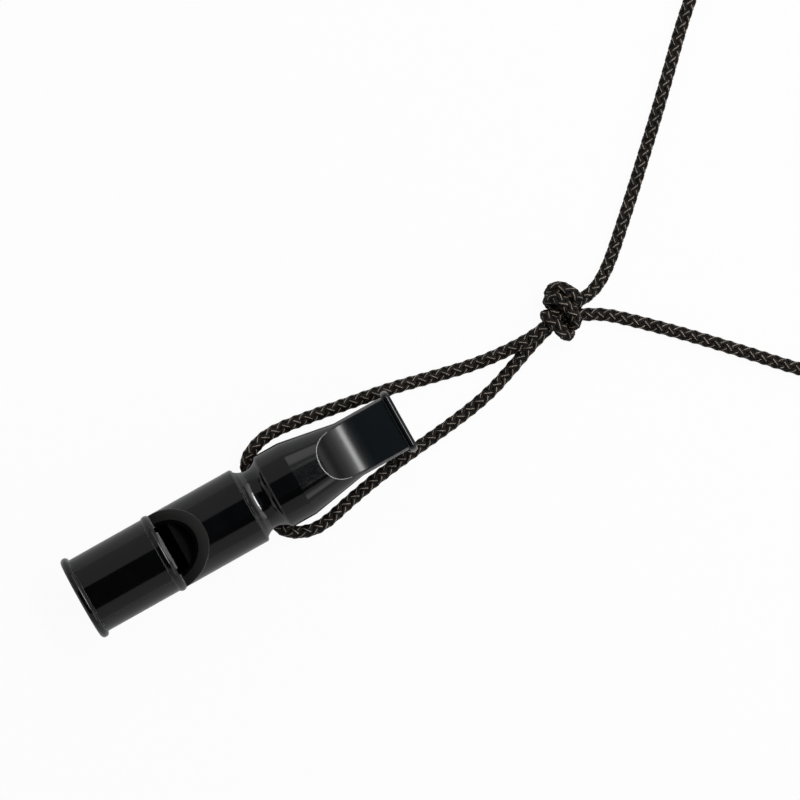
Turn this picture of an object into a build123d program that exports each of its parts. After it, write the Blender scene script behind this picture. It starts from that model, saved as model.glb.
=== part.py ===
from build123d import *
import math
import os

# A pea-less tubular whistle on a braided cord lanyard, in millimetres.
# X runs along the whistle to its mouthpiece, Z is up, and the origin is under the middle of the whistle.

# Lengths along the whistle, from its open end to its tip
resonator_length = 20.2
collar_width = 1.8
body_length = 21.2
neck_width = 5.9
barrel_length = 5.9
taper_length = 13.2
bite_length = 11.8
tip_bead_width = 2.0

# Radii and thicknesses of the whistle
tube_radius = 9.0
tube_wall = 2.8
barrel_wall = 3.1
socket_wall = 1.6
neck_depth = 1.8
bite_width = 13.3
bite_thickness = 5.8
end_bead_width = 2.0
end_bead_height = 0.95
collar_height = 0.4
tip_bead_height = 0.95
tip_bead_round = 0.85
tip_corner_round = 1.2

# How the pieces seat in each other
nose_length = 5.0
spigot_length = 5.0
push_clearance = 0.03
seat_gap = 0.1
mouth_chamfer = 0.5
body_chamfer = 0.4
overrun = 1.0

# The window, its straight lip and the block that feeds it
window_length = 10.0
window_roll = 4.0
lip_width = 9.25
lip_projection = 0.35
lip_drop = 2.9
lip_edge = 0.4
lip_ramp_length = 5.5
lip_weld = 0.3
block_front_gap = 3.0
block_back_gap = 2.0
windway_depth = 3.2

# The neck, the scoops of the bite, the air slot and the cord hole
neck_low_share = 0.43
neck_edge_drop = 0.7
shoulder_drop = 0.3
shoulder_width = 0.4
scoop_radius = 13.9
scoop_land = 3.8
scoop_edge_round = 0.25
slot_side_wall = 1.3
slot_height = 2.2
cord_hole_wall = 1.25

# The cord, its knot, its coil and the tie
cord_radius = 1.35
floor_clearance = 0.01
cord_hole_clearance = 0.3
cord_bend_share = 0.45
knot_centre = (84.1, 3.7)
knot_turn = 60.0
knot_length = 12.2
knot_core_radius = 2.9
knot_end_share = 0.9
knot_wrap_radius = 3.0
knot_wrap_cord_radius = 1.4
knot_wrap_step = 3.3
knot_wrap_tilt = 22.0
knot_wrap_count = 3
coil_centre = (168.2, -9.2)
coil_turn = -29.3
coil_inner_radius = 8.2
coil_pitch = 3.2
coil_turns = 8
coil_lift = 0.6
coil_lead_run = 7.8
tie_width = 5.0
tie_thickness = 0.5
tie_clearance = 0.1
tie_corner = 1.2

# Radii and heights that follow from the walls and depths
tube_bore_radius = tube_radius - tube_wall
bore_radius = tube_radius - barrel_wall
nose_radius = tube_radius - socket_wall
neck_radius = tube_radius - neck_depth
bite_radius = bite_width / 2
lip_height = bore_radius - lip_drop
slot_width = 2 * (bore_radius - slot_side_wall)
cord_hole_radius = cord_radius + cord_hole_clearance
cord_hole_drop = neck_radius - cord_hole_wall - cord_hole_radius
axis_height = tube_radius + end_bead_height

# Stations along the axis, from the open end
window_station = resonator_length + collar_width
neck_station = window_station + body_length
barrel_station = neck_station + neck_width
taper_station = barrel_station + barrel_length
bite_station = taper_station + taper_length
tip_station = bite_station + bite_length
whistle_length = tip_station + tip_bead_width
nose_station = resonator_length - nose_length
spigot_station = neck_station - spigot_length
neck_low_station = neck_station + neck_low_share * neck_width
whistle_place = Pos(-whistle_length / 2, 0, axis_height)


def turned(*lines):
    """A solid of revolution about X from a closed outline of stations and radii."""
    return revolve(make_face(Curve() + list(lines)), Axis.X)


def across(outline, half_width):
    """A prism along Y from a closed outline of stations and heights."""
    return extrude(Plane.XZ * make_face(outline), amount=half_width, both=True)


def rod(radius, start, end):
    """A cylinder along X between two stations."""
    return extrude(Plane.YZ.offset(start) * Circle(radius), amount=end - start)


def make_resonator_tube():
    """The open tube, with a rolled bead at its mouth and a socket for the barrel's nose."""
    socket_radius = nose_radius + push_clearance
    socket_station = nose_station - seat_gap
    mouth = Polyline(
        (mouth_chamfer, tube_bore_radius),
        (0, tube_bore_radius + mouth_chamfer),
        (0, tube_radius),
    )
    bead_top = (end_bead_width / 2, tube_radius + end_bead_height)
    bead = ThreePointArc((0, tube_radius), bead_top, (end_bead_width, tube_radius))
    rest = Polyline(
        (end_bead_width, tube_radius),
        (resonator_length, tube_radius),
        (resonator_length, socket_radius),
        (socket_station, socket_radius),
        (socket_station, tube_bore_radius),
        (mouth_chamfer, tube_bore_radius),
    )
    return turned(mouth, bead, rest)


def make_body_barrel():
    """The barrel: a nose for the tube, a collar, the slanted window and the straight lip."""
    front = Polyline(
        (nose_station, bore_radius),
        (nose_station, nose_radius),
        (resonator_length, nose_radius),
        (resonator_length, tube_radius),
    )
    collar_top = ((resonator_length + window_station) / 2, tube_radius + collar_height)
    collar = ThreePointArc((resonator_length, tube_radius), collar_top, (window_station, tube_radius))
    back = Polyline(
        (window_station, tube_radius),
        (neck_station - body_chamfer, tube_radius),
        (neck_station, tube_radius - body_chamfer),
        (neck_station, bore_radius),
        (nose_station, bore_radius),
    )
    barrel = turned(front, collar, back)
    window_reach = tube_radius + collar_height + overrun
    window_outline = Polyline(
        (window_station, 0),
        (window_station, window_reach),
        (window_station + window_length * window_reach / tube_radius, window_reach),
        close=True,
    )
    barrel -= across(window_outline, window_reach)
    lip_station = window_station + lip_projection
    lip_root = bore_radius + lip_weld
    lip_outline = Polyline(
        (window_station - lip_ramp_length, bore_radius),
        (lip_station, lip_height),
        (lip_station, lip_height + lip_edge),
        (window_station, lip_height + lip_edge + lip_projection),
        (window_station, lip_root),
        (window_station - lip_ramp_length, lip_root),
        close=True,
    )
    lip = across(lip_outline, lip_width / 2) & rod(lip_root, nose_station, lip_station)
    return Rot(-window_roll, 0, 0) * (barrel + lip)


def make_fipple_block():
    """The plug in the bore, with a flat on top that leaves the windway."""
    start = window_station + block_front_gap
    end = spigot_station - block_back_gap
    flat_height = bore_radius - windway_depth
    block = rod(bore_radius - push_clearance, start, end)
    windway_outline = Polyline(
        (start - overrun, flat_height),
        (end + overrun, flat_height),
        (end + overrun, bore_radius),
        (start - overrun, bore_radius),
        close=True,
    )
    return Rot(-window_roll, 0, 0) * (block - across(windway_outline, bore_radius))


def make_tip_bead():
    """The rounded rim round the tip of the bite."""
    outline = Circle(bite_radius + tip_bead_height)
    outline &= Rectangle(2 * tube_radius, bite_thickness + 2 * tip_bead_height)
    outline = fillet(outline.vertices(), tip_corner_round)
    bead = extrude(Plane.YZ.offset(tip_station) * outline, amount=tip_bead_width)
    rims = bead.faces().sort_by(Axis.X)[0].edges() + bead.faces().sort_by(Axis.X)[-1].edges()
    return fillet(rims, tip_bead_round)


def make_mouthpiece():
    """Spigot, waisted neck, barrel, taper, scooped bite and tip bead, with the air slot and cord hole."""
    spigot_radius = bore_radius - push_clearance
    neck_edge = (neck_station, tube_radius - neck_edge_drop)
    neck_low = (neck_low_station, neck_radius)
    shoulder = (barrel_station - shoulder_width, tube_radius - shoulder_drop)
    inner = Polyline(
        (spigot_station, 0),
        (spigot_station, spigot_radius),
        (neck_station, spigot_radius),
        neck_edge,
    )
    waist = [
        TangentArc(neck_low, neck_edge, tangent=(-1, 0)),
        TangentArc(neck_low, shoulder, tangent=(1, 0)),
    ]
    outer = Polyline(
        shoulder,
        (barrel_station, tube_radius),
        (taper_station, tube_radius),
        (bite_station, bite_radius),
        (tip_station, bite_radius),
        (tip_station, 0),
        (spigot_station, 0),
    )
    mouthpiece = turned(inner, *waist, outer)

    flat_height = bite_thickness / 2
    scoop_end = bite_station + scoop_land
    scoop_centre = (scoop_end, flat_height + scoop_radius)
    scoop_outline = Curve() + [
        CenterArc(scoop_centre, scoop_radius, start_angle=180, arc_size=90),
        Polyline(
            (scoop_end, flat_height),
            (tip_station, flat_height),
            (tip_station, flat_height + scoop_radius),
            (scoop_end - scoop_radius, flat_height + scoop_radius),
        ),
    ]
    scoop = across(scoop_outline, tube_radius)
    mouthpiece -= [scoop, mirror(scoop, Plane.XY)]
    mouthpiece = fillet(mouthpiece.edges().filter_by(GeomType.BSPLINE), scoop_edge_round)
    mouthpiece += make_tip_bead()

    slot_profile = Plane.YZ.offset(spigot_station - overrun) * Rectangle(slot_width, slot_height)
    mouthpiece -= extrude(slot_profile, amount=whistle_length - spigot_station + 2 * overrun)
    hole_profile = Pos(neck_low_station, -cord_hole_drop) * Circle(cord_hole_radius)
    mouthpiece -= extrude(Plane.XZ * hole_profile, amount=tube_radius, both=True)
    return mouthpiece


# The cord's route. The loop goes from the knot along +Y, through the neck and back along -Y.
cord_floor = cord_radius + floor_clearance
hole_x = neck_low_station - whistle_length / 2
hole_z = axis_height - cord_hole_drop
loop_route = [
    (80.5, 3.0, 3.9),
    (75.0, 2.5, 3.1),
    (68.0, 2.5, 1.9),
    (60.5, 3.6, cord_floor),
    (51.5, 6.8, cord_floor),
    (42.0, 9.4, cord_floor),
    (31.0, 9.9, 1.7),
    (21.5, 11.2, 2.9),
    (14.0, 12.1, 4.3),
    (9.0, 11.5, 5.2),
    (hole_x, 9.3, hole_z),
    (hole_x, -9.3, hole_z),
    (9.0, -11.7, 5.2),
    (14.0, -12.3, 4.3),
    (21.5, -11.0, 2.9),
    (31.0, -9.8, 1.7),
    (42.0, -9.5, cord_floor),
    (51.5, -7.6, cord_floor),
    (60.5, -4.9, cord_floor),
    (68.0, -2.4, cord_floor),
    (75.0, -0.4, cord_floor),
    (80.5, 1.2, 1.5),
]
coil_low = cord_radius + coil_lift
coil_high = coil_low + coil_pitch
coil_reversal = coil_turns / 2 + 0.25
strand_a_route = [
    (86.0, 4.0, 4.3),
    (92.0, 4.4, 2.2),
    (97.3, 7.0, cord_floor),
    (104.0, 12.9, cord_floor),
    (113.5, 21.8, cord_floor),
    (127.0, 34.7, cord_floor),
    (141.0, 48.9, cord_floor),
    (154.5, 59.8, cord_floor),
    (168.4, 61.2, cord_floor),
    (181.9, 53.0, cord_floor),
    (191.1, 38.5, cord_floor),
    (196.2, 21.5, 1.6),
    (195.6, 4.8, 3.6),
]
strand_b_route = [
    (86.0, 1.2, 2.0),
    (91.6, -1.4, cord_floor),
    (97.0, -6.4, cord_floor),
    (104.5, -13.8, cord_floor),
    (114.4, -23.8, cord_floor),
    (124.0, -34.4, cord_floor),
    (133.5, -42.4, cord_floor),
    (146.0, -46.2, cord_floor),
    (160.3, -44.4, cord_floor),
    (173.0, -37.0, cord_floor),
]


def cord_tube(name, route):
    """A round tube on straight runs joined by the largest tangent arcs that the runs allow."""
    points = [Vector(*point) for point in route]
    radii = []
    for before, corner, after in zip(points, points[1:], points[2:]):
        turn = (corner - before).get_angle(after - corner)
        shorter_run = min((corner - before).length, (after - corner).length)
        radii.append(cord_bend_share * shorter_run / math.tan(math.radians(turn) / 2))
    path = FilletPolyline(*points, radius=radii)
    tube = sweep(Plane(path @ 0, z_dir=path % 0) * Circle(cord_radius), path=path)
    expected = math.pi * cord_radius**2 * path.length
    print(name, "length", round(path.length, 1), "volume share", round(tube.volume / expected, 4))
    print(name, "bend radii", [round(radius, 1) for radius in radii])
    return tube


def make_knot():
    """A barrel-shaped knot: three slanted wraps round a core with round ends."""
    core = extrude(Plane.YZ * Circle(knot_core_radius), amount=knot_length / 2, both=True)
    core = fillet(core.edges().filter_by(GeomType.CIRCLE), knot_core_radius * knot_end_share)
    knot = core
    for index in range(knot_wrap_count):
        offset_along = (index - (knot_wrap_count - 1) / 2) * knot_wrap_step
        wrap = Torus(knot_wrap_radius, knot_wrap_cord_radius)
        knot += Pos(offset_along, 0, 0) * Rot(0, 0, knot_wrap_tilt) * Rot(0, 90, 0) * wrap
    height = knot_wrap_radius + knot_wrap_cord_radius
    return Pos(knot_centre[0], knot_centre[1], height) * Rot(0, 0, knot_turn) * knot


def coil_radius(turns):
    """The spiral's radius after so many turns: steadily in to the reversal, then out again."""
    return coil_inner_radius + coil_pitch * abs(turns - coil_reversal)


def coil_place(turns):
    """The spiral's point and direction after so many turns, about the coil's own centre."""
    angle = 2 * math.pi * turns
    radius = coil_radius(turns)
    side = (turns > coil_reversal) - (turns < coil_reversal)
    height = (coil_low + coil_high + side * coil_pitch) / 2
    drift = side * coil_pitch / (2 * math.pi)
    if turns in (0, coil_turns):
        drift = 0
    climb = 0 if side else 2 * coil_pitch / math.pi
    radial = Vector(math.cos(angle), math.sin(angle), 0)
    around = Vector(-math.sin(angle), math.cos(angle), 0)
    point = radial * radius + Vector(0, 0, height)
    return point, (around * radius + radial * drift + Vector(0, 0, climb)).normalized()


def biarc(start, start_way, end, end_way):
    """Two arcs that leave start and reach end in the given directions and meet in one tangent."""
    chord = end - start
    ways = start_way + end_way
    bend = 2 * (1 - start_way.dot(end_way))
    along = chord.dot(ways)
    reach = (math.sqrt(along**2 + bend * chord.dot(chord)) - along) / bend
    middle = (start + start_way * reach + end - end_way * reach) * 0.5
    return [
        TangentArc(start, middle, tangent=start_way),
        TangentArc(end, middle, tangent=end_way * -1),
    ]


def make_coil():
    """One unbroken tube that spirals in, climbs a layer in half a turn and spirals out again."""
    lead = 2 * cord_radius
    half_turns = [step / 2 for step in range(2 * coil_turns + 1)]
    places = [coil_place(turns) for turns in sorted(half_turns + [coil_reversal])]
    first, first_way = places[0]
    last, last_way = places[-1]
    edges = [Line(first - first_way * lead, first)]
    for (start, start_way), (end, end_way) in zip(places, places[1:]):
        edges += biarc(start, start_way, end, end_way)
    edges.append(Line(last, last + last_way * lead))
    path = Wire([edge.edge() for edge in edges])
    samples_per_turn = 48
    count = coil_turns * samples_per_turn
    points = [path.position_at(step / count) for step in range(count + 1)]
    apart = samples_per_turn // 3
    gaps = [(q - p).length for i, p in enumerate(points) for q in points[i + apart:]]
    print("coil length", round(path.length, 1), "least gap", round(min(gaps) - 2 * cord_radius, 3))
    tube = sweep(Plane(path @ 0, z_dir=path % 0) * Circle(cord_radius), path=path)
    ends = [coil_frame * point for point in (Pos(*(path @ 0)), Pos(*(path @ 1)))]
    return coil_frame * tube, [end.position for end in ends]


def make_tie():
    """A flat band round the coil's turns, on the side away from the ends."""
    half_width = tie_width / 2
    inner_turn = coil_inner_radius - cord_radius
    inside = math.sqrt(inner_turn**2 - half_width**2) - tie_clearance
    outside = coil_radius(0.5) + cord_radius + tie_clearance
    low = coil_low - cord_radius - tie_clearance
    high = coil_high + cord_radius + tie_clearance
    opening = Pos(-(inside + outside) / 2, (low + high) / 2)
    window = opening * RectangleRounded(outside - inside, high - low, tie_corner)
    band = offset(window, tie_thickness) - window
    return coil_frame * extrude(Plane.XZ * band, amount=half_width, both=True)


coil_frame = Pos(coil_centre[0], coil_centre[1], 0) * Rot(0, 0, coil_turn)
coil, (coil_start, coil_end) = make_coil()
coil_way = Vector(1, 0, 0).rotate(Axis.Z, coil_turn + 90)
strand_a_end = [tuple(coil_end + coil_way * coil_lead_run), tuple(coil_end)]
strand_b_end = [tuple(coil_start - coil_way * coil_lead_run), tuple(coil_start)]

nodes = {
    "resonator_tube": whistle_place * make_resonator_tube(),
    "body_barrel": whistle_place * make_body_barrel(),
    "fipple_block": whistle_place * make_fipple_block(),
    "mouthpiece": whistle_place * make_mouthpiece(),
    "lanyard_loop": cord_tube("lanyard_loop", loop_route),
    "lanyard_knot": make_knot(),
    "neck_strand_a": cord_tube("neck_strand_a", strand_a_route + strand_a_end),
    "neck_strand_b": cord_tube("neck_strand_b", strand_b_route + strand_b_end),
    "neck_cord_coil": coil,
    "coil_tie": make_tie(),
}

os.makedirs("parts", exist_ok=True)
for name, shape in nodes.items():
    export_step(shape, f"parts/{name}.step")
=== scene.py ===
# %% [markdown]
# A black tubular whistle lies on its side on a braided cord lanyard. The whistle's own solids are
# already exact, so this lesson keeps their meshes and gives them a finish. The soft pieces, which are
# the cords, the knot and the tie, are modelled here around the same frame.

import math

import bmesh
import bpy
from mathutils import Matrix, Vector


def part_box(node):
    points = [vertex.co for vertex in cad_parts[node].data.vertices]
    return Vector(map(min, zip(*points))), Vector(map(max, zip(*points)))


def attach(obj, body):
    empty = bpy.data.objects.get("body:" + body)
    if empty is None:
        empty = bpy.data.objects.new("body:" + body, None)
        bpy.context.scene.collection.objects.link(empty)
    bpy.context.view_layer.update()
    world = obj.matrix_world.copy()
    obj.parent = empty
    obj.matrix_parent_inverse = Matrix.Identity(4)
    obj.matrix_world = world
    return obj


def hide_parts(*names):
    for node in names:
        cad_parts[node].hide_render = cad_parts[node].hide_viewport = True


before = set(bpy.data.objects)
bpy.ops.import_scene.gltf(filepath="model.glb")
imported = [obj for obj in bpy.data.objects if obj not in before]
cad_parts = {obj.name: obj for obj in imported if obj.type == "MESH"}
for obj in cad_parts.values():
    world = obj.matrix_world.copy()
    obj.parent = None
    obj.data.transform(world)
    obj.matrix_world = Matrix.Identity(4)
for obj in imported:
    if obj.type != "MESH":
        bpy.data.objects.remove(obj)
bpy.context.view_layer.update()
mm = 0.001
scene = bpy.context.scene
scene.view_settings.view_transform = "Standard"

# %% [markdown]
# The photograph looks straight down, with the whistle turned about 29 degrees across the frame. A long
# lens from well above gives its nearly flat perspective, so the camera needs a place, a turn about the
# vertical and a focal length that makes the frame as wide as it was, and nothing else.

# %% Camera
tube_low, tube_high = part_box("resonator_tube")
axis_height = (tube_low.z + tube_high.z) / 2
photo_turn = math.radians(-29.34)
camera_over = Vector((42.6, 3.98, 0)) * mm
camera_distance = 2200 * mm
frame_width = 177.76 * mm
sensor_width = 36

camera_data = bpy.data.cameras.new("photo_camera")
camera_data.sensor_width = sensor_width
camera_data.lens = sensor_width * camera_distance / frame_width
camera = bpy.data.objects.new("photo_camera", camera_data)
camera.location = camera_over + Vector((0, 0, axis_height + camera_distance))
camera.rotation_euler = (0, 0, photo_turn)
scene.collection.objects.link(camera)
scene.camera = camera
print("camera", round(camera.location.z, 3), "m above the floor")

# %% [markdown]
# A cord is soft, so its line has to be smooth: the route's points become the control points of a NURBS
# curve, and the cord follows points read back from that curve. Even steps along it, each with a side
# and an up that are carried along without twist, are what the braid is wound on.

# %% A smooth line along a route, and frames along it
line_order = 3
line_resolution = 24


def cord_line(name, route):
    """Points on the NURBS curve that has the route, in millimetres, as its control points."""
    curve = bpy.data.curves.new(name, "CURVE")
    curve.dimensions = "3D"
    curve.resolution_u = line_resolution
    spline = curve.splines.new("NURBS")
    spline.points.add(len(route) - 1)
    for control, place in zip(spline.points, route):
        control.co = (*(Vector(place) * mm), 1)
    spline.order_u = line_order
    spline.use_endpoint_u = True
    carrier = bpy.data.objects.new(name, curve)
    mesh = bpy.data.meshes.new_from_object(carrier)
    points = [vertex.co.copy() for vertex in mesh.vertices]
    bpy.data.objects.remove(carrier)
    bpy.data.curves.remove(curve)
    bpy.data.meshes.remove(mesh)
    return points


def line_length(points):
    """The length of a line given by its points."""
    return sum((after - before).length for before, after in zip(points, points[1:]))


def even_steps(points, step):
    """The same line in even steps, close to the wanted step."""
    total = line_length(points)
    count = max(2, round(total / step))
    places = [points[0].copy()]
    walked = 0
    for before, after in zip(points, points[1:]):
        run = (after - before).length
        while run > 0 and len(places) < count and walked + run >= total * len(places) / count:
            share = (total * len(places) / count - walked) / run
            places.append(before.lerp(after, share))
        walked += run
    return places + [points[-1].copy()]


def carried_frames(points):
    """The way, side and up at each point, carried along the line without twist."""
    up = Vector((0, 0, 1))
    frames = []
    for before, after in zip(points[:1] + points[:-1], points[1:] + points[-1:]):
        way = (after - before).normalized()
        side = up.cross(way).normalized()
        up = way.cross(side)
        frames.append((way, side, up))
    return frames


print("cord lines of order", line_order, "with", line_resolution, "points to a stretch")

# %% [markdown]
# The lanyard is a round braid of eight flat yarns, four winding each way, that pass over and under each
# other. A bump map can't give its knobbly outline, so the yarns are real: each is a grid rolled into a
# flattened tube along a helix whose radius rises and falls at every crossing. Yarns of one hand are up
# where the others are down, which makes the rows of slanted stitches that meet in a V.

# %% The braid
cord_diameter = 2.7 * mm
yarns_each_way = 4
braid_pitch = 10.8 * mm
yarn_half_width = 0.72 * mm
yarn_half_thickness = 0.3 * mm
yarn_lift = 0.15 * mm
yarn_radius = 1.1 * mm
core_radius = 0.8 * mm
yarn_sides = 6
rings_per_pitch = 16
seam_merge = 0.0005 * mm
grid_half = 0.5


def add_tube(builder, uv_layer, rings, uv_step):
    """Rolls a grid into a closed tube through rings, each given as a centre and two half axes."""
    grid = bmesh.ops.create_grid(
        builder, x_segments=len(rings) - 1, y_segments=yarn_sides, size=grid_half, calc_uvs=False
    )
    spots = {}
    for vertex in grid["verts"]:
        ring = round((vertex.co.x + grid_half) * (len(rings) - 1))
        corner = round((vertex.co.y + grid_half) * yarn_sides)
        spots[vertex] = (ring, corner)
    for vertex, (ring, corner) in spots.items():
        centre, across, upward = rings[ring]
        angle = 2 * math.pi * corner / yarn_sides
        vertex.co = centre + across * math.cos(angle) + upward * math.sin(angle)
    for face in {face for vertex in spots for face in vertex.link_faces}:
        for loop in face.loops:
            ring, corner = spots[loop.vert]
            loop[uv_layer].uv = (ring * uv_step / mm, corner / yarn_sides)


def braid_yarn(points, frames, step, hand, index):
    """One yarn's rings: a helix that rises over and dips under the yarns of the other hand."""
    rings = []
    for ring, (point, (way, side, up)) in enumerate(zip(points, frames)):
        turn = 2 * math.pi * ring * step / braid_pitch
        angle = hand * turn + 2 * math.pi * index / yarns_each_way
        outward = side * math.cos(angle) + up * math.sin(angle)
        around = up * math.cos(angle) - side * math.sin(angle)
        radius = yarn_radius + hand * yarn_lift * math.cos(yarns_each_way * turn)
        slope = hand * 2 * math.pi * radius / braid_pitch
        across = outward.cross(way + around * slope).normalized()
        rings.append((point + outward * radius, across * yarn_half_width, outward * yarn_half_thickness))
    return rings


def braided_cord(name, line):
    """A mesh of eight braided yarns round a thin core, along a line."""
    points = even_steps(line, braid_pitch / rings_per_pitch)
    step = line_length(points) / (len(points) - 1)
    frames = carried_frames(points)
    builder = bmesh.new()
    uv_layer = builder.loops.layers.uv.new("yarn")
    for hand in (1, -1):
        for index in range(yarns_each_way):
            add_tube(builder, uv_layer, braid_yarn(points, frames, step, hand, index), step)
    core = [
        (point, side * core_radius, up * core_radius)
        for point, (way, side, up) in zip(points, frames)
    ]
    add_tube(builder, uv_layer, core, step)
    bmesh.ops.remove_doubles(builder, verts=builder.verts, dist=seam_merge)
    ends = [edge for edge in builder.edges if edge.is_boundary]
    bmesh.ops.holes_fill(builder, edges=ends, sides=yarn_sides)
    bmesh.ops.recalc_face_normals(builder, faces=builder.faces)
    mesh = bpy.data.meshes.new(name)
    builder.to_mesh(mesh)
    builder.free()
    mesh.shade_smooth()
    cord = bpy.data.objects.new(name, mesh)
    scene.collection.objects.link(cord)
    mesh.calc_loop_triangles()
    print(name, round(line_length(line) / mm, 1), "mm,", len(mesh.loop_triangles), "triangles")
    return cord


print(2 * yarns_each_way, "yarns, once round in", round(braid_pitch / mm, 1), "mm")

# %% [markdown]
# The short loop goes from the knot along one side of the mouthpiece, across the neck through its hole
# and back along the other side. Its points follow the photograph in plan. In height it lies on the
# floor, rises to the hole, and at the knot one side lies on the other.

# %% The loop through the neck
cord_floor = 1.6
hole_x = 4.94
hole_z = 5.65
loop_route = [
    (85.6, 5.4, 4.2),
    (83.0, 3.4, 4.4),
    (79.5, 2.3, 4.2),
    (74.5, 1.7, 3.6),
    (68.0, 1.9, 2.2),
    (60.5, 2.8, cord_floor),
    (51.5, 4.9, cord_floor),
    (42.0, 7.3, cord_floor),
    (31.0, 9.2, 1.7),
    (21.5, 10.9, 2.9),
    (14.5, 11.8, 4.2),
    (10.0, 11.2, 5.1),
    (5.6, 8.9, 5.6),
    (hole_x, 5.0, hole_z),
    (hole_x, -5.0, hole_z),
    (5.6, -8.9, 5.6),
    (10.0, -11.5, 5.1),
    (14.5, -11.9, 4.2),
    (21.5, -10.2, 2.9),
    (31.0, -8.4, 1.7),
    (42.0, -7.1, cord_floor),
    (51.5, -6.1, cord_floor),
    (60.5, -4.6, cord_floor),
    (68.0, -2.0, cord_floor),
    (74.5, 0.5, cord_floor),
    (79.5, 1.9, 1.7),
    (83.0, 3.0, 2.8),
    (85.2, 4.6, 3.0),
]
loop_line = cord_line("lanyard_loop_line", loop_route)
loop_cord = braided_cord("loop_cord", loop_line)
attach(loop_cord, "lanyard")
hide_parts("lanyard_loop")

# %% [markdown]
# The rest of the lanyard goes round the wearer's neck. The photograph shows only its two ends, so the
# rest lies just outside the frame, wound into a tied coil of two layers. It could be a separate ring, but
# it is one cord, so the coil's turns are points of the same line: a spiral that runs in on the floor,
# climbs and runs out again.

# %% The neck cord and its coil
coil_centre = Vector((168.2, -9.2, 0))
coil_turn = math.radians(-29.3)
coil_inner_radius = 8.2
coil_pitch = 3.2
coil_turns = 8
climb_turns = 0.5
coil_low = 2.1
coil_points_per_turn = 16
coil_lead = 2.7
coil_lead_run = 7.8
strand_b_route = [
    (82.4, 5.0, 3.4),
    (84.6, 2.8, 3.0),
    (87.0, 0.8, 2.2),
    (91.6, -1.5, cord_floor),
    (97.0, -6.4, cord_floor),
    (104.5, -13.6, cord_floor),
    (114.4, -23.8, cord_floor),
    (124.0, -34.2, cord_floor),
    (133.5, -42.4, cord_floor),
    (146.0, -46.2, cord_floor),
    (160.3, -44.4, cord_floor),
    (173.0, -37.0, cord_floor),
]
strand_a_route = [
    (81.4, 4.2, 4.6),
    (84.4, 3.9, 4.7),
    (87.6, 3.6, 4.0),
    (92.3, 4.0, 2.2),
    (97.3, 6.9, cord_floor),
    (104.0, 12.9, cord_floor),
    (113.5, 21.8, cord_floor),
    (127.0, 34.7, cord_floor),
    (141.0, 48.9, cord_floor),
    (154.5, 59.8, cord_floor),
    (168.4, 61.2, cord_floor),
    (181.9, 53.0, cord_floor),
    (191.1, 38.5, cord_floor),
    (196.2, 21.5, cord_floor),
    (195.6, 4.8, 3.6),
]


def coil_point(turns):
    """A point of the coil after so many turns, on the lower layer, the climb or the upper layer."""
    reversal = (coil_turns + climb_turns) / 2
    radius = coil_inner_radius + coil_pitch * abs(turns - reversal)
    climbed = min(1, max(0, (turns - coil_turns / 2) / climb_turns))
    angle = coil_turn + 2 * math.pi * turns
    height = coil_low + coil_pitch * climbed
    return coil_centre + Vector((radius * math.cos(angle), radius * math.sin(angle), height))


coil_way = Vector((-math.sin(coil_turn), math.cos(coil_turn), 0))
coil_steps = range(coil_turns * coil_points_per_turn + 1)
coil_route = [coil_point(step / coil_points_per_turn) for step in coil_steps]
coil_start = coil_route[0] - coil_way * coil_lead
coil_end = coil_route[-1] + coil_way * coil_lead
strand_b_end = [coil_start - coil_way * coil_lead_run, coil_start]
strand_a_end = [coil_end, coil_end + coil_way * coil_lead_run]
neck_route = strand_b_route + strand_b_end + coil_route + strand_a_end + strand_a_route[::-1]
neck_line = cord_line("neck_cord_line", neck_route)
neck_cord = braided_cord("neck_cord", neck_line)
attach(neck_cord, "lanyard")
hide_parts("neck_strand_a", "neck_strand_b", "neck_cord_coil")

# %% [markdown]
# The knot that closes the loop shows three bands of the same cord: one arched over its end, one that
# slants across the top and tucks under, and a short one below. It could be a lump with a bump map, but
# its outline is the cord's own, so it is one more braided line, with points given along, across and
# above the knot's middle.

# %% The knot
knot_centre = Vector((83.8, 3.6, 4.4))
knot_turn = math.radians(60)
knot_across = Vector((math.sin(knot_turn), -math.cos(knot_turn), 0))
knot_along = Vector((math.cos(knot_turn), math.sin(knot_turn), 0))
knot_upward = Vector((0, 0, 1))
knot_turns = [
    (2.6, 2.6, -0.6),
    (0.6, 2.9, -1.2),
    (-1.8, 2.6, -1.8),
    (-3.0, 3.9, 0.2),
    (-1.3, 5.5, 2.2),
    (1.5, 4.5, 2.2),
    (3.6, 2.6, 0.6),
    (3.0, 1.0, -2.2),
    (-0.2, 1.3, -2.9),
    (-2.8, 1.6, -1.4),
    (-3.0, 2.4, 1.2),
    (-1.5, 3.3, 3.0),
    (0.8, 1.2, 3.2),
    (2.6, -0.5, 2.5),
    (3.3, -2.4, 0.8),
    (1.8, -3.6, -1.3),
    (-1.0, -2.4, -2.8),
    (-3.5, -1.2, -1.2),
    (-3.6, -1.0, 1.2),
    (-1.3, -3.1, 2.7),
    (0.5, -5.1, 1.8),
    (1.6, -5.5, -0.2),
    (1.4, -3.8, -2.0),
    (1.4, -1.9, -1.4),
    (0.8, 0.0, -0.8),
]
knot_route = [
    knot_centre + knot_across * sideways + knot_along * lengthways + knot_upward * height
    for sideways, lengthways, height in knot_turns
]
knot_line = cord_line("knot_line", knot_route)
knot = braided_cord("knot", knot_line)
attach(knot, "lanyard")
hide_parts("lanyard_knot")

# %% [markdown]
# A flat elastic band holds the coil. It could be swept along a rounded outline, but a block is simpler:
# as large as the turns, with its two ends open and its long edges rounded, it is the band's own face, and
# solidify gives it its thickness.

# %% The tie round the coil
tie_width = 5.0
tie_inside = 6.0
tie_outside = 21.9
tie_low = 0.5
tie_high = 6.95
tie_corner = 1.2
tie_corner_segments = 6
tie_thickness = 0.5


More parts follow.
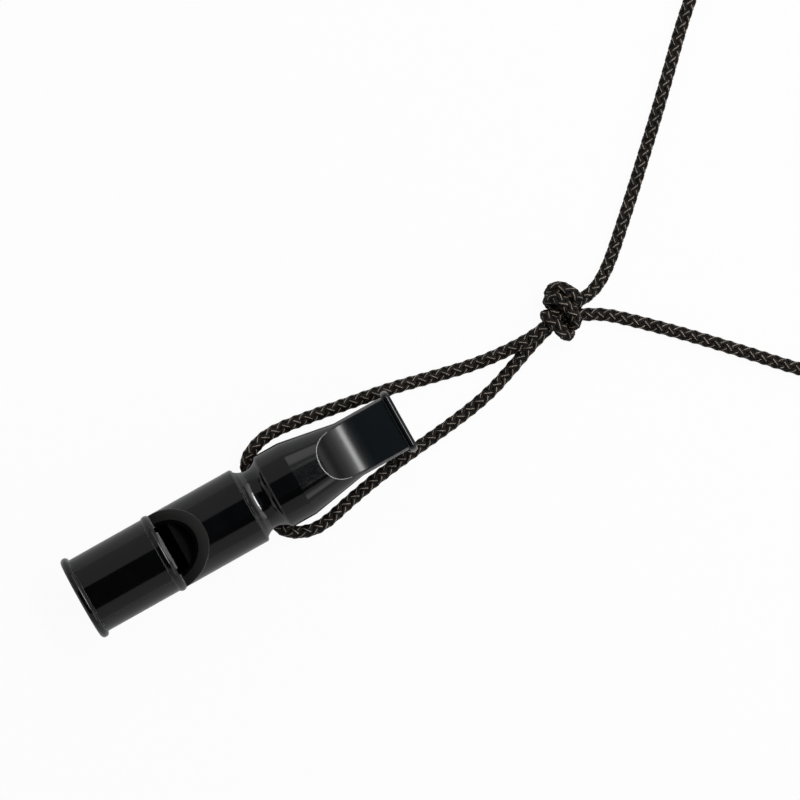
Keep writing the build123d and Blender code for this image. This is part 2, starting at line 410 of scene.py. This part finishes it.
def make_tie():
    """A rounded band round one side of the coil."""
    builder = bmesh.new()
    bmesh.ops.create_cube(builder, size=1)
    tie_size = (tie_outside - tie_inside, tie_width, tie_high - tie_low)
    bmesh.ops.scale(builder, vec=tie_size, verts=builder.verts)
    open_ends = [face for face in builder.faces if round(abs(face.normal.y)) == 1]
    bmesh.ops.delete(builder, geom=open_ends, context="FACES_ONLY")
    corners = [
        edge for edge in builder.edges
        if abs((edge.verts[0].co - edge.verts[1].co).y) > tie_width / 2
    ]
    bmesh.ops.bevel(
        builder, geom=corners, offset=tie_corner, segments=tie_corner_segments,
        profile=0.5, affect="EDGES", material=-1,
    )
    bmesh.ops.recalc_face_normals(builder, faces=builder.faces)
    bmesh.ops.solidify(builder, geom=builder.faces, thickness=-tie_thickness)
    bmesh.ops.recalc_face_normals(builder, faces=builder.faces)
    mesh = bpy.data.meshes.new("coil_band")
    builder.to_mesh(mesh)
    builder.free()
    return mesh


tie_mesh = make_tie()
tie_offset = Vector((-(tie_inside + tie_outside) / 2, 0, (tie_low + tie_high) / 2))
coil_outward = Vector((math.cos(coil_turn), math.sin(coil_turn), 0))
for vertex in tie_mesh.vertices:
    place = vertex.co + tie_offset
    vertex.co = (coil_centre + coil_outward * place.x + coil_way * place.y + Vector((0, 0, place.z))) * mm
tie = bpy.data.objects.new("coil_band", tie_mesh)
scene.collection.objects.link(tie)
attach(tie, "lanyard")
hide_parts("coil_tie")
print("tie of", tie_width, "mm with", len(tie_mesh.polygons), "faces")

# %% [markdown]
# The lines that the braids were wound on are also taken in steps of one cord diameter, and the lengths
# of both lines are printed.

# %% The cords' lines and lengths
even_steps(loop_line, cord_diameter)
even_steps(neck_line, cord_diameter)
print("cord lines", [round(line_length(line) / mm) for line in (loop_line, neck_line)], "mm")

# %% [markdown]
# Handling leaves a soft, cloudy change of tone on plastic, and yarn takes its dye unevenly. Both are the
# same effect at another scale, so it is a node group, built once and placed with a scale of its own in
# each finish. A painted picture could do this too, but noise needs no seams.

# %% Soft clouds
def new_group(name, inputs, outputs):
    """An empty shader group with named sockets."""
    group = bpy.data.node_groups.new(name, "ShaderNodeTree")
    for label, kind in inputs:
        group.interface.new_socket(label, in_out="INPUT", socket_type=kind)
    for label, kind in outputs:
        group.interface.new_socket(label, in_out="OUTPUT", socket_type=kind)
    return group, group.nodes.new("NodeGroupInput"), group.nodes.new("NodeGroupOutput")


pattern_inputs = [("Vector", "NodeSocketVector"), ("Scale", "NodeSocketFloat")]
mask_output = [("Mask", "NodeSocketFloat")]


def make_cloud_group():
    """A soft mask between 0 and 1 that drifts over the surface."""
    group, given, result = new_group("Soft clouds", pattern_inputs, mask_output)
    noise = group.nodes.new("ShaderNodeTexNoise")
    noise.inputs["Detail"].default_value = 4
    noise.inputs["Roughness"].default_value = 0.6
    stretch = group.nodes.new("ShaderNodeMapRange")
    stretch.inputs["From Min"].default_value = 0.3
    stretch.inputs["From Max"].default_value = 0.7
    group.links.new(given.outputs["Vector"], noise.inputs["Vector"])
    group.links.new(given.outputs["Scale"], noise.inputs["Scale"])
    group.links.new(noise.outputs["Fac"], stretch.inputs["Value"])
    group.links.new(stretch.outputs["Result"], result.inputs["Mask"])
    return group


cloud_group = make_cloud_group()
print("group:", cloud_group.name)

# %% [markdown]
# A whistle that rides in a pocket gets hair-fine scratches, most of them along its length. Noise that is
# drawn out along X, turned a little and cut to its thin crests gives such lines. Real grooves in the
# mesh would be far too fine for it.

# %% Fine scratches
def make_scratch_group():
    """Fine scratches: noise drawn out along X, cut to its thin crests."""
    group, given, result = new_group("Fine scratches", pattern_inputs, mask_output)
    draw_out = group.nodes.new("ShaderNodeMapping")
    draw_out.inputs["Scale"].default_value = (0.06, 1, 1)
    draw_out.inputs["Rotation"].default_value = (0.2, 0.3, 0.5)
    noise = group.nodes.new("ShaderNodeTexNoise")
    noise.inputs["Detail"].default_value = 2
    crest = group.nodes.new("ShaderNodeMapRange")
    crest.inputs["From Min"].default_value = 0.62
    crest.inputs["From Max"].default_value = 0.72
    group.links.new(given.outputs["Vector"], draw_out.inputs["Vector"])
    group.links.new(draw_out.outputs["Vector"], noise.inputs["Vector"])
    group.links.new(given.outputs["Scale"], noise.inputs["Scale"])
    group.links.new(noise.outputs["Fac"], crest.inputs["Value"])
    group.links.new(crest.outputs["Result"], result.inputs["Mask"])
    return group


scratch_group = make_scratch_group()
print("group:", scratch_group.name)

# %% [markdown]
# No moulded edge is quite sharp, and the window's edges catch a little light. They could be beveled in
# the mesh, but that mesh is loose triangles and exact as it is. The Bevel node rounds only the normals
# near an edge, and where they leave the true ones a pale painted highlight is laid along the edge.

# %% Worn edges
bevel_samples = 8
edge_begins = 0.97
edge_full = 0.88


def make_edge_group():
    """A softly rounded normal for sharp edges, and a mask of where it leaves the true one, for a painted
    highlight.
    """
    outputs = mask_output + [("Normal", "NodeSocketVector")]
    group, given, result = new_group("Rounded edges with painted highlight", [("Radius", "NodeSocketFloat")], outputs)
    rounded = group.nodes.new("ShaderNodeBevel")
    rounded.samples = bevel_samples
    surface = group.nodes.new("ShaderNodeNewGeometry")
    likeness = group.nodes.new("ShaderNodeVectorMath")
    likeness.operation = "DOT_PRODUCT"
    edge_highlight_zone = group.nodes.new("ShaderNodeMapRange")
    edge_highlight_zone.inputs["From Min"].default_value = edge_begins
    edge_highlight_zone.inputs["From Max"].default_value = edge_full
    group.links.new(given.outputs["Radius"], rounded.inputs["Radius"])
    group.links.new(rounded.outputs["Normal"], likeness.inputs[0])
    group.links.new(surface.outputs["Normal"], likeness.inputs[1])
    group.links.new(likeness.outputs["Value"], edge_highlight_zone.inputs["Value"])
    group.links.new(edge_highlight_zone.outputs["Result"], result.inputs["Mask"])
    group.links.new(rounded.outputs["Normal"], result.inputs["Normal"])
    return group


edge_group = make_edge_group()
print("group:", edge_group.name)

# %% [markdown]
# A finish is built up like paint: a ground coat that drifts between two tones, then one coat after
# another, each laid on through a mask. A few small helpers place the nodes for that, so that each
# finish below reads as its list of coats.

# %% Helpers for a finish
def new_material(name):
    """A material with its shader and texture coordinates."""
    material = bpy.data.materials.new(name)
    material.use_nodes = True
    nodes = material.node_tree.nodes
    coordinates = nodes.new("ShaderNodeTexCoord")
    return material, nodes, material.node_tree.links, nodes["Principled BSDF"], coordinates


def place_pattern(nodes, links, group, coordinates, scale, socket="Object"):
    """The mask of clouds or scratches, at a scale given per metre or per unit of UV."""
    node = nodes.new("ShaderNodeGroup")
    node.node_tree = group
    node.inputs["Scale"].default_value = scale
    links.new(coordinates.outputs[socket], node.inputs["Vector"])
    return node.outputs["Mask"]


def ground_coat(nodes, links, mask, low, high):
    """A colour that goes from low to high with the mask."""
    mix = nodes.new("ShaderNodeMix")
    mix.data_type = "RGBA"
    mix.inputs["A"].default_value = (*low, 1)
    mix.inputs["B"].default_value = (*high, 1)
    links.new(mask, mix.inputs["Factor"])
    return mix.outputs["Result"]


def painted_over(nodes, links, mask, below, colour):
    """A colour laid over another one where the mask is on."""
    mix = nodes.new("ShaderNodeMix")
    mix.data_type = "RGBA"
    mix.inputs["B"].default_value = (*colour, 1)
    links.new(below, mix.inputs["A"])
    links.new(mask, mix.inputs["Factor"])
    return mix.outputs["Result"]


def mapped_value(nodes, links, mask, low, high):
    """A number that goes from low to high with the mask."""
    span = nodes.new("ShaderNodeMapRange")
    span.inputs["To Min"].default_value = low
    span.inputs["To Max"].default_value = high
    links.new(mask, span.inputs["Value"])
    return span.outputs["Result"]


def laid_over(nodes, links, mask, below, value):
    """A number laid over another one where the mask is on."""
    mix = nodes.new("ShaderNodeMix")
    mix.inputs["B"].default_value = value
    links.new(below, mix.inputs["A"])
    links.new(mask, mix.inputs["Factor"])
    return mix.outputs["Result"]


def joined(nodes, links, operation, first, second):
    """Two masks joined by a Math operation, kept between 0 and 1."""
    node = nodes.new("ShaderNodeMath")
    node.operation = operation
    node.use_clamp = True
    links.new(first, node.inputs[0])
    links.new(second, node.inputs[1])
    return node.outputs["Value"]


def between(nodes, links, value, low, high):
    """A mask of where a value lies between two limits."""
    within = nodes.new("ShaderNodeMath")
    within.operation = "COMPARE"
    within.inputs[1].default_value = (low + high) / 2
    within.inputs[2].default_value = (high - low) / 2
    links.new(value, within.inputs[0])
    return within.outputs["Value"]


def bumped(nodes, links, height, strength, depth):
    """A Bump node over a height, with a depth in metres."""
    bump = nodes.new("ShaderNodeBump")
    bump.inputs["Strength"].default_value = strength
    bump.inputs["Distance"].default_value = depth
    links.new(height, bump.inputs["Height"])
    return bump


def dress(piece, material):
    """Gives a piece one material in all its slots."""
    if not piece.data.materials:
        piece.data.materials.append(material)
    for slot in piece.material_slots:
        slot.material = material
    print(piece.name, "wears", material.name)


print("a finish starts with", len(bpy.data.node_groups), "shared groups")

# %% [markdown]
# Parts of the whistle differ in finish, though each piece has one material. The masks for that could be
# painted by hand. Here they follow from the shape: a stretch along the axis, the way a surface faces, or
# its distance from the centre line of a bore or a scoop.

# %% Masks on the whistle
across_y = (1, 0, 1)
across_x = (0, 1, 1)


def stretch_mask(nodes, links, coordinates, stretch):
    """A mask of one stretch of the whistle's length."""
    split = nodes.new("ShaderNodeSeparateXYZ")
    links.new(coordinates.outputs["Object"], split.inputs["Vector"])
    return between(nodes, links, split.outputs["X"], *stretch)


def facing_mask(nodes, links, way, fades_at, full_at):
    """A mask of the surfaces that face one way, with the cosines at which it fades and is full."""
    surface = nodes.new("ShaderNodeNewGeometry")
    likeness = nodes.new("ShaderNodeVectorMath")
    likeness.operation = "DOT_PRODUCT"
    likeness.inputs[1].default_value = way
    links.new(surface.outputs["Normal"], likeness.inputs[0])
    mask = nodes.new("ShaderNodeMapRange")
    mask.inputs["From Min"].default_value = fades_at
    mask.inputs["From Max"].default_value = full_at
    links.new(likeness.outputs["Value"], mask.inputs["Value"])
    return mask.outputs["Result"]


def reach_mask(nodes, links, coordinates, centre, across, nearest, farthest):
    """A mask of what lies between two distances from a centre line, whose own way has an across of 0."""
    from_centre = nodes.new("ShaderNodeMapping")
    from_centre.inputs["Location"].default_value = Vector(
        -place * factor for place, factor in zip(centre, across)
    )
    from_centre.inputs["Scale"].default_value = across
    links.new(coordinates.outputs["Object"], from_centre.inputs["Vector"])
    reach = nodes.new("ShaderNodeVectorMath")
    reach.operation = "LENGTH"
    links.new(from_centre.outputs["Vector"], reach.inputs[0])
    return between(nodes, links, reach.outputs["Value"], nearest, farthest)


print("masks by stretch, by facing and by reach")

# %% [markdown]
# Inside the window the slanted wall is a cut, so it is duller and a little paler than the polished
# outside. The bore behind it is dull and carries a painted shade that makes it nearly black. The bore's
# mask reaches a little into the wall, so that this painted shade darkens the wall's inner edge and the
# pale ring of the cut is as narrow as on the real one.

# %% The window's wall and bore
cut_facing = Vector((-0.669, 0.052, 0.741))
cut_fades_at, cut_full_at = 0.985, 0.995
bore_reach = 6.7 * mm
bore_stretch = (-18.6 * mm, 2 * mm)


def window_masks(nodes, links, coordinates):
    """Masks of the slanted wall that the window was cut along, and of the inside of the bore, where the
    shade is painted.
    """
    wall = facing_mask(nodes, links, cut_facing, cut_fades_at, cut_full_at)
    axis = Vector((0, 0, axis_height))
    inside = reach_mask(nodes, links, coordinates, axis, across_x, 0, bore_reach)
    along = stretch_mask(nodes, links, coordinates, bore_stretch)
    bore = joined(nodes, links, "MULTIPLY", inside, along)
    return joined(nodes, links, "SUBTRACT", wall, bore), bore


print("bore dark to", round(bore_reach / mm, 1), "mm from the axis")

# %% [markdown]
# Two edges show as pale lines: the straight lip that splits the air, and the curved edge where the scoop
# of the bite begins. A thin painted highlight is laid along each, because the solids' own small rounds
# there are too fine to catch enough light.

# %% Painted highlights on the lip and the scoop's edge
lip_facing = Vector((0.707, 0.049, 0.705))
lip_fades_at, lip_full_at = 0.96, 0.985
lip_stretch = (-20 * mm, -18.6 * mm)
scoop_centre = Vector((31.0, 0, 26.75)) * mm
scoop_reach = 13.94 * mm
scoop_edge_reach = (scoop_reach, 14.07 * mm)
scoop_edge_stretch = (19 * mm, 25 * mm)


def painted_edge_highlights(nodes, links, coordinates):
    """Masks for the painted highlights along the lip's edge and the scoop's edge."""
    lip = facing_mask(nodes, links, lip_facing, lip_fades_at, lip_full_at)
    lip_along = stretch_mask(nodes, links, coordinates, lip_stretch)
    scoop = reach_mask(nodes, links, coordinates, scoop_centre, across_y, *scoop_edge_reach)
    scoop_along = stretch_mask(nodes, links, coordinates, scoop_edge_stretch)
    return (
        joined(nodes, links, "MULTIPLY", lip, lip_along),
        joined(nodes, links, "MULTIPLY", scoop, scoop_along),
    )


print("scoop edge", round((scoop_edge_reach[1] - scoop_edge_reach[0]) / mm, 2), "mm deep")

# %% [markdown]
# The top scoop and its flat are held between the teeth, so they are rougher than the rest, which spreads
# the lamp's reflection into a soft band. The masks of the scoop's hollow and of the flat are joined.

# %% The rubbed bite
flat_stretch = (31 * mm, 38.8 * mm)


def bite_mask(nodes, links, coordinates):
    """A mask of the top scoop's hollow and of the flat beyond it."""
    hollow = reach_mask(nodes, links, coordinates, scoop_centre, across_y, 0, scoop_reach)
    flat = stretch_mask(nodes, links, coordinates, flat_stretch)
    return joined(nodes, links, "MAXIMUM", hollow, flat)


print("flat of the bite", round((flat_stretch[1] - flat_stretch[0]) / mm, 1), "mm long")

# %% [markdown]
# The whistle is a polished black moulding. Its look is nearly all reflection, so the base stays almost
# black, the gloss drifts a little as with handling, and hairline scratches break the highlights. The
# coats above go on in turn: cut wall, painted edge highlights, painted lip and scoop highlights and the
# bore's painted shade in the colour, then bite, wall and bore in the roughness. The cord polishes a thin
# stretch of the neck, which shines more.

# %% Whistle plastic
smudge_scale = 90
scratch_scale = 900
scratch_strength, scratch_depth = 0.05, 0.01 * mm
# The window's stretch, where edge normals are rounded wider and the painted edge highlight is broader.
broad_highlight_stretch = (-20.8 * mm, -9 * mm)
smooth_radius, broad_edge_radius = 0.05 * mm, 0.3 * mm
polished_stretch = (3.0 * mm, 4.2 * mm)
black_low, black_high = (0.001, 0.001, 0.0012), (0.0022, 0.0021, 0.0022)
wall_colour = (0.018, 0.0173, 0.0165)
# A pale grey painted highlight along the edges.
edge_highlight_colour = (0.2, 0.2, 0.2)
# Painted highlights along the lip and along the scoop's edge.
lip_highlight_colour = (0.11, 0.11, 0.11)
scoop_highlight_colour = (0.28, 0.28, 0.27)
# Painted shade in the bore and at the wall's inner edge.
bore_shade_colour = (0.001, 0.0008, 0.0007)
gloss_low, gloss_high = 0.08, 0.13
bite_roughness, wall_roughness, bore_roughness = 0.21, 0.5, 0.75
plain_shine, polished_shine, bore_shine = 0.4, 0.75, 0.06


def make_whistle_plastic():
    """Polished black plastic, with its cut window, a dull bore in painted shade, a rubbed bite and
    painted edge highlights.
    """
    material, nodes, links, shader, coordinates = new_material("polished_black_plastic")
    smudges = place_pattern(nodes, links, cloud_group, coordinates, smudge_scale)
    scratches = place_pattern(nodes, links, scratch_group, coordinates, scratch_scale)
    wall, bore = window_masks(nodes, links, coordinates)
    lip, scoop_edge = painted_edge_highlights(nodes, links, coordinates)
    bite = bite_mask(nodes, links, coordinates)
    polished = stretch_mask(nodes, links, coordinates, polished_stretch)
    edge_highlight_zone = stretch_mask(nodes, links, coordinates, broad_highlight_stretch)
    edges = nodes.new("ShaderNodeGroup")
    edges.node_tree = edge_group
    links.new(mapped_value(nodes, links, edge_highlight_zone, smooth_radius, broad_edge_radius), edges.inputs["Radius"])

    colour = ground_coat(nodes, links, smudges, black_low, black_high)
    # Over the ground go the paler cut wall, the painted highlights on edges, lip and scoop edge, and last
    # the bore's painted shade.
    coats = [
        (wall, wall_colour),
        (edges.outputs["Mask"], edge_highlight_colour),
        (lip, lip_highlight_colour),
        (scoop_edge, scoop_highlight_colour),
        (bore, bore_shade_colour),
    ]
    for mask, coat in coats:
        colour = painted_over(nodes, links, mask, colour, coat)
    links.new(colour, shader.inputs["Base Color"])

    gloss = mapped_value(nodes, links, smudges, gloss_low, gloss_high)
    for mask, roughness in ((bite, bite_roughness), (wall, wall_roughness), (bore, bore_roughness)):
        gloss = laid_over(nodes, links, mask, gloss, roughness)
    links.new(gloss, shader.inputs["Roughness"])

    bump = bumped(nodes, links, scratches, scratch_strength, scratch_depth)
    links.new(edges.outputs["Normal"], bump.inputs["Normal"])
    links.new(bump.outputs["Normal"], shader.inputs["Normal"])
    shine = mapped_value(nodes, links, polished, plain_shine, polished_shine)
    shine = laid_over(nodes, links, bore, shine, bore_shine)
    links.new(shine, shader.inputs["Specular IOR Level"])
    return material


whistle_plastic = make_whistle_plastic()
for name in ("resonator_tube", "body_barrel", "mouthpiece"):
    dress(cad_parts[name], whistle_plastic)

# %% [markdown]
# The block is pushed into the bore and nobody polishes it, so it stays as its mould left it: matte, with
# a fine grain. It shows only as a darker step behind the lip, and it needs nothing but clouds at a fine
# scale.

# %% Block plastic
grain_scale = 400
grain_strength, grain_depth = 0.15, 0.02 * mm
block_low, block_high = (0.0008, 0.0005, 0.0005), (0.002, 0.0012, 0.001)
block_smoothest, block_roughest = 0.7, 0.85
block_shine = 0.1


def make_block_plastic():
    """The duller black of the block inside the bore, as it came from its mould."""
    material, nodes, links, shader, coordinates = new_material("moulded_block_plastic")
    grain = place_pattern(nodes, links, cloud_group, coordinates, grain_scale)
    links.new(ground_coat(nodes, links, grain, block_low, block_high), shader.inputs["Base Color"])
    roughness = mapped_value(nodes, links, grain, block_smoothest, block_roughest)
    links.new(roughness, shader.inputs["Roughness"])
    bump = bumped(nodes, links, grain, grain_strength, grain_depth)
    links.new(bump.outputs["Normal"], shader.inputs["Normal"])
    shader.inputs["Specular IOR Level"].default_value = block_shine
    return material


dress(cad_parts["fipple_block"], make_block_plastic())

# %% [markdown]
# The cord's yarns are bundles of shiny charcoal filaments. The filaments run along each yarn, which is
# what the yarn's UV map follows: fine lines across V give the bundle its grain, and slow noise along U
# makes some stitches lighter than others. The crest of a yarn is where V is a quarter, and there each
# stitch has a thin painted glint, a light line where the lamps' highlight would fall.

# %% Cord yarn
filament_stretch = (0.5, 26, 1)
filament_detail = 3
stitch_scale = 0.9
crest_middle, crest_half_width = 0.25, 0.022
faintest_glint, fullest_glint = 0.35, 1
yarn_dark, yarn_light = (0.0007, 0.0005, 0.0004), (0.028, 0.022, 0.0175)
# Painted glint: a light grey-beige line along each stitch's crest.
glint_colour = (0.28, 0.24, 0.203)
yarn_smoothest, yarn_roughest = 0.4, 0.65
filament_strength, filament_depth = 0.6, 0.05 * mm
yarn_shine = 0.1


def make_cord_yarn():
    """Charcoal yarn of fine filaments, with a painted glint along the crest of its stitches."""
    material, nodes, links, shader, coordinates = new_material("charcoal_cord_yarn")
    along_yarn = nodes.new("ShaderNodeMapping")
    along_yarn.inputs["Scale"].default_value = filament_stretch
    links.new(coordinates.outputs["UV"], along_yarn.inputs["Vector"])
    noise = nodes.new("ShaderNodeTexNoise")
    noise.inputs["Scale"].default_value = 1
    noise.inputs["Detail"].default_value = filament_detail
    links.new(along_yarn.outputs["Vector"], noise.inputs["Vector"])
    filaments = noise.outputs["Fac"]
    stitches = place_pattern(nodes, links, cloud_group, coordinates, stitch_scale, "UV")
    grain = joined(nodes, links, "MULTIPLY", filaments, stitches)
    split = nodes.new("ShaderNodeSeparateXYZ")
    links.new(coordinates.outputs["UV"], split.inputs["Vector"])
    crest = between(
        nodes, links, split.outputs["Y"], crest_middle - crest_half_width, crest_middle + crest_half_width
    )
    weight = mapped_value(nodes, links, stitches, faintest_glint, fullest_glint)
    painted_glint = joined(nodes, links, "MULTIPLY", crest, weight)
    colour = ground_coat(nodes, links, grain, yarn_dark, yarn_light)
    colour = painted_over(nodes, links, painted_glint, colour, glint_colour)
    links.new(colour, shader.inputs["Base Color"])
    roughness = mapped_value(nodes, links, filaments, yarn_smoothest, yarn_roughest)
    links.new(roughness, shader.inputs["Roughness"])
    bump = bumped(nodes, links, filaments, filament_strength, filament_depth)
    links.new(bump.outputs["Normal"], shader.inputs["Normal"])
    shader.inputs["Specular IOR Level"].default_value = yarn_shine
    return material


cord_yarn = make_cord_yarn()
for piece in (loop_cord, neck_cord, knot):
    dress(piece, cord_yarn)

# %% [markdown]
# The tie is black woven elastic, whose rubber threads show as ribs along the band. A wave texture gives
# the ribs. It is turned with the coil, because the band's own direction isn't one of the axes.

# %% Tie band
rib_scale = 420
rib_distortion = 0.6
rib_strength, rib_depth = 0.5, 0.1 * mm
rib_dark, rib_light = (0.006, 0.006, 0.0065), (0.028, 0.028, 0.03)
rib_smoothest, rib_roughest = 0.65, 0.85


def make_tie_band():
    """Black woven elastic with ribs along its length."""
    material, nodes, links, shader, coordinates = new_material("ribbed_elastic")
    turn = nodes.new("ShaderNodeMapping")
    turn.inputs["Rotation"].default_value = (0, 0, -coil_turn)
    links.new(coordinates.outputs["Object"], turn.inputs["Vector"])
    wave = nodes.new("ShaderNodeTexWave")
    wave.bands_direction = "Y"
    wave.inputs["Scale"].default_value = rib_scale
    wave.inputs["Distortion"].default_value = rib_distortion
    links.new(turn.outputs["Vector"], wave.inputs["Vector"])
    ribs = wave.outputs["Fac"]
    links.new(ground_coat(nodes, links, ribs, rib_dark, rib_light), shader.inputs["Base Color"])
    links.new(mapped_value(nodes, links, ribs, rib_smoothest, rib_roughest), shader.inputs["Roughness"])
    bump = bumped(nodes, links, ribs, rib_strength, rib_depth)
    links.new(bump.outputs["Normal"], shader.inputs["Normal"])
    return material


dress(tie, make_tie_band())

# %% [markdown]
# The ground is pure white. Most of what the camera sees of the floor is a plain white, and the rest is
# a matte white that still takes the object's shadow. A reflection sees more of the matte part, because
# gloss lying on paper mirrors the shade right beside it, and that shade keeps its outline dark.

# %% Floor
floor_size = 6.0
seen_white = 0.95
mirrored_white = 0.05
ground_tone = 0.64


def make_white_ground():
    """White to the camera and through clear things, and mostly matte in a mirror."""
    material = bpy.data.materials.new("white_ground")
    material.use_nodes = True
    nodes, links = material.node_tree.nodes, material.node_tree.links
    nodes.remove(nodes["Principled BSDF"])
    matte = nodes.new("ShaderNodeBsdfDiffuse")
    matte.inputs["Color"].default_value = (ground_tone, ground_tone, ground_tone, 1)
    white = nodes.new("ShaderNodeEmission")
    rays = nodes.new("ShaderNodeLightPath").outputs
    direct = joined(nodes, links, "MAXIMUM", rays["Is Camera Ray"], rays["Is Transmission Ray"])
    seen = mapped_value(nodes, links, direct, 0, seen_white)
    mirrored = mapped_value(nodes, links, rays["Is Glossy Ray"], 0, mirrored_white)
    mix = nodes.new("ShaderNodeMixShader")
    links.new(joined(nodes, links, "MAXIMUM", seen, mirrored), mix.inputs["Fac"])
    links.new(matte.outputs["BSDF"], mix.inputs[1])
    links.new(white.outputs["Emission"], mix.inputs[2])
    links.new(mix.outputs["Shader"], nodes["Material Output"].inputs["Surface"])
    return material


def make_floor():
    """A plain floor under the middle of the picture."""
    builder = bmesh.new()
    bmesh.ops.create_grid(builder, x_segments=1, y_segments=1, size=floor_size / 2)
    mesh = bpy.data.meshes.new("studio_floor")
    builder.to_mesh(mesh)
    builder.free()
    floor = bpy.data.objects.new("studio_floor", mesh)
    floor.location = camera_over
    scene.collection.objects.link(floor)
    return floor


floor = make_floor()
dress(floor, make_white_ground())

# %% [markdown]
# On black gloss the lamps are the picture. Two large soft panels stand along the whistle's sides and
# make the grey bands, and the dark gap between them overhead is the black stripe along its top. Past the
# mouthpiece, panels of different heights lie behind each other, so that the scoop mirrors a slow change
# of tone, and two short bright ones make its band and the crescent on the neck. Low panels at both ends
# edge the beads, and two faint cool ones overhead tint the flat of the bite. A brightness of 1 is white
# here, so each lamp's power comes from its brightness and its size.

# %% Lamps
light_target = Vector((20 * mm, 0, axis_height))
tip_turn = math.radians(2.5)
to_left, to_right, to_tip, to_mouth = (0, 1), (0, -1), (1, 0), (-1, 0)
past_tip = (math.cos(tip_turn), math.sin(tip_turn))
white_light = (1, 1, 1)
cool_light, cooler_light = (0.45, 0.95, 1.25), (0.4, 0.95, 1.3)


def soft_panel(name, toward, from_zenith, to_zenith, length, distance, brightness, colour):
    """A panel that fills a range of angles from the zenith, seen from the whistle, on one side of it."""
    middle = math.radians((from_zenith + to_zenith) / 2)
    height = 2 * distance * math.tan(math.radians(to_zenith - from_zenith) / 2)
    lamp_data = bpy.data.lights.new(name, "AREA")
    lamp_data.shape = "RECTANGLE"
    lamp_data.size = length
    lamp_data.size_y = height
    lamp_data.color = colour
    lamp_data.energy = brightness * math.pi * length * height
    lamp = bpy.data.objects.new(name, lamp_data)
    aim = Vector((toward[0] * math.sin(middle), toward[1] * math.sin(middle), math.cos(middle)))
    lamp.location = light_target + aim * distance
    upward = Vector((-toward[0] * math.cos(middle), -toward[1] * math.cos(middle), math.sin(middle)))
    sideways = upward.cross(aim)
    lamp.rotation_euler = Matrix((sideways, upward, aim)).transposed().to_euler()
    lamp.visible_camera = False
    scene.collection.objects.link(lamp)


# name, side, nearest and farthest angle from the zenith, length, distance, brightness, colour
panels = [
    ("left_panel", to_left, 24.5, 90.5, 1.6, 0.7, 0.45, white_light),
    ("right_panel", to_right, 46, 90.5, 1.6, 0.7, 0.45, white_light),
    ("tip_panel_wide", past_tip, 26.5, 78, 4.2, 0.86, 0.3, white_light),
    ("tip_panel", past_tip, 26.5, 62, 4.2, 0.84, 0.4, white_light),
    ("tip_panel_upper", past_tip, 26.5, 50, 4.2, 0.82, 0.45, white_light),
    ("tip_panel_halo", to_tip, 23, 42, 0.9, 0.8, 0.85, white_light),
    ("tip_panel_long", to_tip, 23.2, 31, 1.0, 0.79, 7, white_light),
    ("tip_panel_middle", to_tip, 23.2, 31, 0.55, 0.78, 9, white_light),
    ("tip_panel_low", to_tip, 78, 90, 1.2, 0.8, 0.9, white_light),
    ("far_panel", to_mouth, 68, 90, 1.0, 0.8, 0.8, white_light),
    ("overhead_glow", to_tip, -0.4, 10, 1.3, 1.4, 0.14, cool_light),
    ("overhead_glow_wide", to_tip, -0.4, 21, 1.3, 1.42, 0.07, cooler_light),
]
for panel in panels:
    soft_panel(*panel)
print(len(panels), "soft panels round the whistle")

# %% [markdown]
# Between the panels the whistle mirrors the room. It is nearly dark overhead, which keeps the stripe
# black, and paler in a low belt at the horizon, which fills the outline of the tube. A world that changes
# with the height of a direction gives both at once.

# %% World
horizon_level = 0.35
zenith_level = 0.01
belt_height = 0.12


def make_world():
    """A dim room, dark overhead and paler near the horizon."""
    world = bpy.data.worlds.new("dim_studio")
    world.use_nodes = True
    nodes, links = world.node_tree.nodes, world.node_tree.links
    background = nodes["Background"]
    background.inputs["Color"].default_value = (1, 1, 1, 1)
    coordinates = nodes.new("ShaderNodeTexCoord")
    split = nodes.new("ShaderNodeSeparateXYZ")
    links.new(coordinates.outputs["Generated"], split.inputs["Vector"])
    slope = nodes.new("ShaderNodeMapRange")
    slope.inputs["From Max"].default_value = belt_height
    slope.inputs["To Min"].default_value = horizon_level
    slope.inputs["To Max"].default_value = zenith_level
    links.new(split.outputs["Z"], slope.inputs["Value"])
    links.new(slope.outputs["Result"], background.inputs["Strength"])
    return world


scene.world = make_world()
print("world:", scene.world.name)
